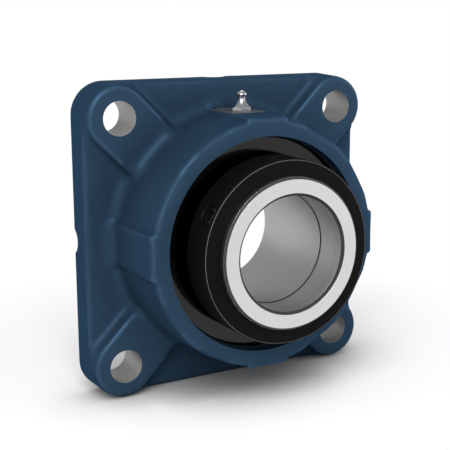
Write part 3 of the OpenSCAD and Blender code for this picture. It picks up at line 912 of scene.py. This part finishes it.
class BEARING_OT_collar(Operator):
    """Blacken the locking collar"""

    bl_idname = "bearing.collar"
    bl_label = "Locking Collar"

    def execute(self, context):
        steel = context.scene.bearing_steel
        black = mottled(
            "black_oxide", steel.collar, 0.46, 0.0,
            # The collar's front rim gets a painted highlight
            scale=520, height=0.00035, spread=0.75, gloss=0.05, rim_highlight=COLLAR_EDGE_HIGHLIGHT,
        )
        dress(black, "locking_collar")
        return {"FINISHED"}


class BEARING_OT_screws(Operator):
    """Finish the set screws"""

    bl_idname = "bearing.screws"
    bl_label = "Set Screws"

    def execute(self, context):
        steel = context.scene.bearing_steel
        sizes = context.scene.bearing_screws
        tone = tuple(SCREW_TONE * c for c in steel.collar)
        black = mottled("black_screws", tone, 0.30, 1.0, scale=900, height=0.00002, spread=0.2)
        length = SCREW_HEAD_R - SCREW_TIP_R - SCREW_SHORT
        for name, (body, turn) in SCREW_TURNS.items():
            matrix = at_screw(turn) @ Matrix.Translation((0, 0, (SCREW_HEAD_R + SCREW_TIP_R) / 2))
            mesh = threaded_screw("threaded_" + name, sizes, length, black, matrix)
            new_piece("threaded_" + name, mesh, black, body, name)
        return {"FINISHED"}


class BEARING_OT_nipple(Operator):
    """Finish the grease nipple, its ball and its spring"""

    bl_idname = "bearing.nipple"
    bl_label = "Grease Nipple"

    def execute(self, context):
        zinc = context.scene.bearing_screws.zinc
        dress(mottled("zinc_plate", zinc, 0.22, 1.0, scale=300, height=0.000001, spread=0.06), "grease_nipple")
        bright = mottled("bright_ball", (0.7, 0.7, 0.7), 0.15, 1.0, scale=1500, height=0.000004, spread=0.05)
        dress(bright, "nipple_ball", "nipple_spring")
        return {"FINISHED"}


class BEARING_OT_seals(Operator):
    """Finish the seal cases, lips and garter springs"""

    bl_idname = "bearing.seals"
    bl_label = "Seals"

    def execute(self, context):
        seals = context.scene.bearing_seals
        case = mottled("seal_case", seals.case, 0.12, 1.0, scale=800, height=0.000002, spread=0.1)
        dress(case, "seal_case_rear")
        mesh = turned("pressed_seal_case", profile(*CASE_OUTLINE))
        new_piece("pressed_seal_case", mesh, case, "base", "seal_case_front")
        rubber = mottled("seal_rubber", seals.rubber, 0.6, 0.0, scale=900, height=0.00003, spread=0.2, gloss=0.2)
        dress(rubber, "seal_lip_front", "seal_lip_rear")
        wire = mottled("garter_wire", (0.4, 0.4, 0.41), 0.3, 1.0)
        for name, place in GARTER_Y.items():
            mesh = wound_ring("wound_" + name, GARTER_R, place, seals.coil_r, seals.coils, wire)
            new_piece("wound_" + name, mesh, wire, "garters", name)
        return {"FINISHED"}


class BEARING_OT_stage(Operator):
    """Lay the floor, hang the lights and set the camera"""

    bl_idname = "bearing.stage"
    bl_label = "Studio"

    def execute(self, context):
        stage = context.scene.bearing_stage
        low = CAD_BOX[0].z
        mesh = bpy.data.meshes.new("studio_floor")
        corners = ((-1, -1), (1, -1), (1, 1), (-1, 1))
        mesh.from_pydata([(a * FLOOR_REACH, b * FLOOR_REACH, low) for a, b in corners], [], [(0, 1, 2, 3)])
        floor = bpy.data.objects.new("studio_floor", mesh)
        context.scene.collection.objects.link(floor)
        mesh.materials.append(floor_material(stage.floor))
        self.sky(context, stage)
        self.lamp(context, "key_lamp", *KEY_LAMP, stage.key)
        self.lamp(context, "fill_lamp", *FILL_LAMP, stage.fill)
        self.camera(context)
        context.scene.view_settings.view_transform = "Standard"
        return {"FINISHED"}

    def sky(self, context, stage):
        """Soft light all around; the camera sees plain white, mirrored rays a white room with a darker ceiling."""
        world = bpy.data.worlds.new("studio_sky")
        context.scene.world = world
        world.use_nodes = True
        tree = world.node_tree
        tree.nodes.clear()
        seen = tree.nodes.new("ShaderNodeLightPath").outputs
        mirrored = tree.nodes.new("ShaderNodeMath")
        mirrored.operation = "MAXIMUM"
        tree.links.new(seen["Is Glossy Ray"], mirrored.inputs[0])
        tree.links.new(seen["Is Transmission Ray"], mirrored.inputs[1])
        way = tree.nodes.new("ShaderNodeSeparateXYZ")
        tree.links.new(tree.nodes.new("ShaderNodeTexCoord").outputs["Generated"], way.inputs[0])
        height = tree.nodes.new("ShaderNodeMapRange")
        tree.links.new(way.outputs[2], height.inputs[0])
        for socket, value in zip(height.inputs[1:5], (*CEILING_RISE, 1.0, stage.ceiling)):
            socket.default_value = value
        last = None
        layers = ((stage.sky, None), (height.outputs[0], mirrored.outputs[0]), (1.0, seen["Is Camera Ray"]))
        for strength, share in layers:
            light = tree.nodes.new("ShaderNodeBackground")
            light.inputs["Color"].default_value = (1, 1, 1, 1)
            if isinstance(strength, float):
                light.inputs["Strength"].default_value = strength
            else:
                tree.links.new(strength, light.inputs["Strength"])
            if last is not None:
                mix = tree.nodes.new("ShaderNodeMixShader")
                tree.links.new(share, mix.inputs[0])
                tree.links.new(last, mix.inputs[1])
                tree.links.new(light.outputs[0], mix.inputs[2])
                last = mix.outputs[0]
            else:
                last = light.outputs[0]
        output = tree.nodes.new("ShaderNodeOutputWorld")
        tree.links.new(last, output.inputs["Surface"])

    def lamp(self, context, name, place, size, power):
        """Round soft lamp that shines at the middle of the bearing."""
        data = bpy.data.lights.new(name, "AREA")
        data.shape = "DISK"
        data.size = size
        data.energy = power
        lamp = bpy.data.objects.new(name, data)
        lamp.location = place
        aim = Vector((0, BEARING_Y, 0)) - Vector(place)
        lamp.rotation_euler = aim.to_track_quat("-Z", "Y").to_euler()
        context.scene.collection.objects.link(lamp)

    def camera(self, context):
        """Camera that sees the unit as the photograph does."""
        azimuth, elevation = (math.radians(turn) for turn in CAMERA_TURN)
        level = math.cos(elevation)
        back = Vector((math.sin(azimuth) * level, -math.cos(azimuth) * level, math.sin(elevation)))
        right = (-back).cross(Vector((0, 0, 1))).normalized()
        up = right.cross(-back)
        data = bpy.data.cameras.new("photo_camera")
        data.sensor_width = 36.0
        data.lens = CAMERA_LENS
        data.shift_x, data.shift_y = CAMERA_SHIFT
        data.clip_start = 0.01
        data.clip_end = 50.0
        camera = bpy.data.objects.new("photo_camera", data)
        matrix = Matrix((right, up, back)).transposed().to_4x4()
        across, rise, distance = CAMERA_PLACE
        matrix.translation = back * distance + right * across + up * rise
        camera.matrix_world = matrix
        context.scene.collection.objects.link(camera)
        context.scene.camera = camera


def floor_material(colour):
    """Pale matte floor that keeps the shadow near the object, darkens there further with painted shade, and runs out
    to plain white further away.
    """
    f = Finish("studio_floor")
    low, high = f.shades(colour, 0.985, 1.0)
    reach, dark_room, pale_room, darkest = SHADE
    # Painted shade near the object, from how enclosed each point of the floor is
    near = f.ramp(f.open_share(reach, own=False), dark_room, pale_room, darkest, 1.0)
    tone = f.darken(f.blend(f.noise(3, 2.0), low, high), near)
    f.set(Base_Color=tone, Roughness=0.9, Specular_IOR_Level=0.1)
    x, y, _ = f.parts(f.place)
    far = f.ramp(f.length(x, y), *FLOOR_FADE, 0.0, 1.0)
    seen = f.add("ShaderNodeLightPath").outputs
    share = f.math("MAXIMUM", seen["Is Glossy Ray"], seen["Is Transmission Ray"])
    share = f.math("MAXIMUM", seen["Is Camera Ray"], share)
    white = f.add("ShaderNodeEmission")
    white.inputs["Strength"].default_value = 1.0
    mix = f.add("ShaderNodeMixShader")
    f.feed(mix.inputs[0], f.times(far, share))
    f.feed(mix.inputs[1], f.surface.outputs[0])
    f.feed(mix.inputs[2], white.outputs[0])
    f.feed(f.output.inputs["Surface"], mix.outputs[0])
    return f.material


class BEARING_PT_panel(Panel):
    """Pieces of the bearing unit"""

    bl_idname = "BEARING_PT_panel"
    bl_label = "Flange Bearing Unit"
    bl_space_type = "VIEW_3D"
    bl_region_type = "UI"
    bl_category = "Bearing"

    def draw(self, context):
        for title, group, steps in PANEL_ROWS:
            box = self.layout.box()
            box.label(text=title)
            settings = getattr(context.scene, group)
            for key in settings.__annotations__:
                box.prop(settings, key)
            for step in steps:
                box.operator(step.bl_idname)


PANEL_ROWS = (
    ("Casting", "bearing_casting", (BEARING_OT_casting,)),
    ("Steel", "bearing_steel", (BEARING_OT_rings, BEARING_OT_rollers, BEARING_OT_collar)),
    ("Seals", "bearing_seals", (BEARING_OT_seals,)),
    ("Screws and nipple", "bearing_screws", (BEARING_OT_screws, BEARING_OT_nipple)),
    ("Studio", "bearing_stage", (BEARING_OT_stage,)),
)
GROUPS = {
    "bearing_casting": BearingCasting,
    "bearing_steel": BearingSteel,
    "bearing_seals": BearingSeals,
    "bearing_screws": BearingScrews,
    "bearing_stage": BearingStage,
}
OPERATORS = (
    BEARING_OT_casting, BEARING_OT_rings, BEARING_OT_rollers, BEARING_OT_collar, BEARING_OT_screws,
    BEARING_OT_nipple, BEARING_OT_seals, BEARING_OT_stage,
)


def register():
    for item in (*GROUPS.values(), *OPERATORS, BEARING_PT_panel):
        bpy.utils.register_class(item)
    for name, group in GROUPS.items():
        setattr(bpy.types.Scene, name, PointerProperty(type=group))


def unregister():
    for name in GROUPS:
        delattr(bpy.types.Scene, name)
    for item in reversed((*GROUPS.values(), *OPERATORS, BEARING_PT_panel)):
        bpy.utils.unregister_class(item)


def main():
    register()
    bpy.ops.bearing.casting()
    bpy.ops.bearing.rings()
    bpy.ops.bearing.rollers()
    bpy.ops.bearing.collar()
    bpy.ops.bearing.screws()
    bpy.ops.bearing.nipple()
    bpy.ops.bearing.seals()
    bpy.ops.bearing.stage()
    bpy.context.view_layer.update()


if __name__ == "__main__":
    main()
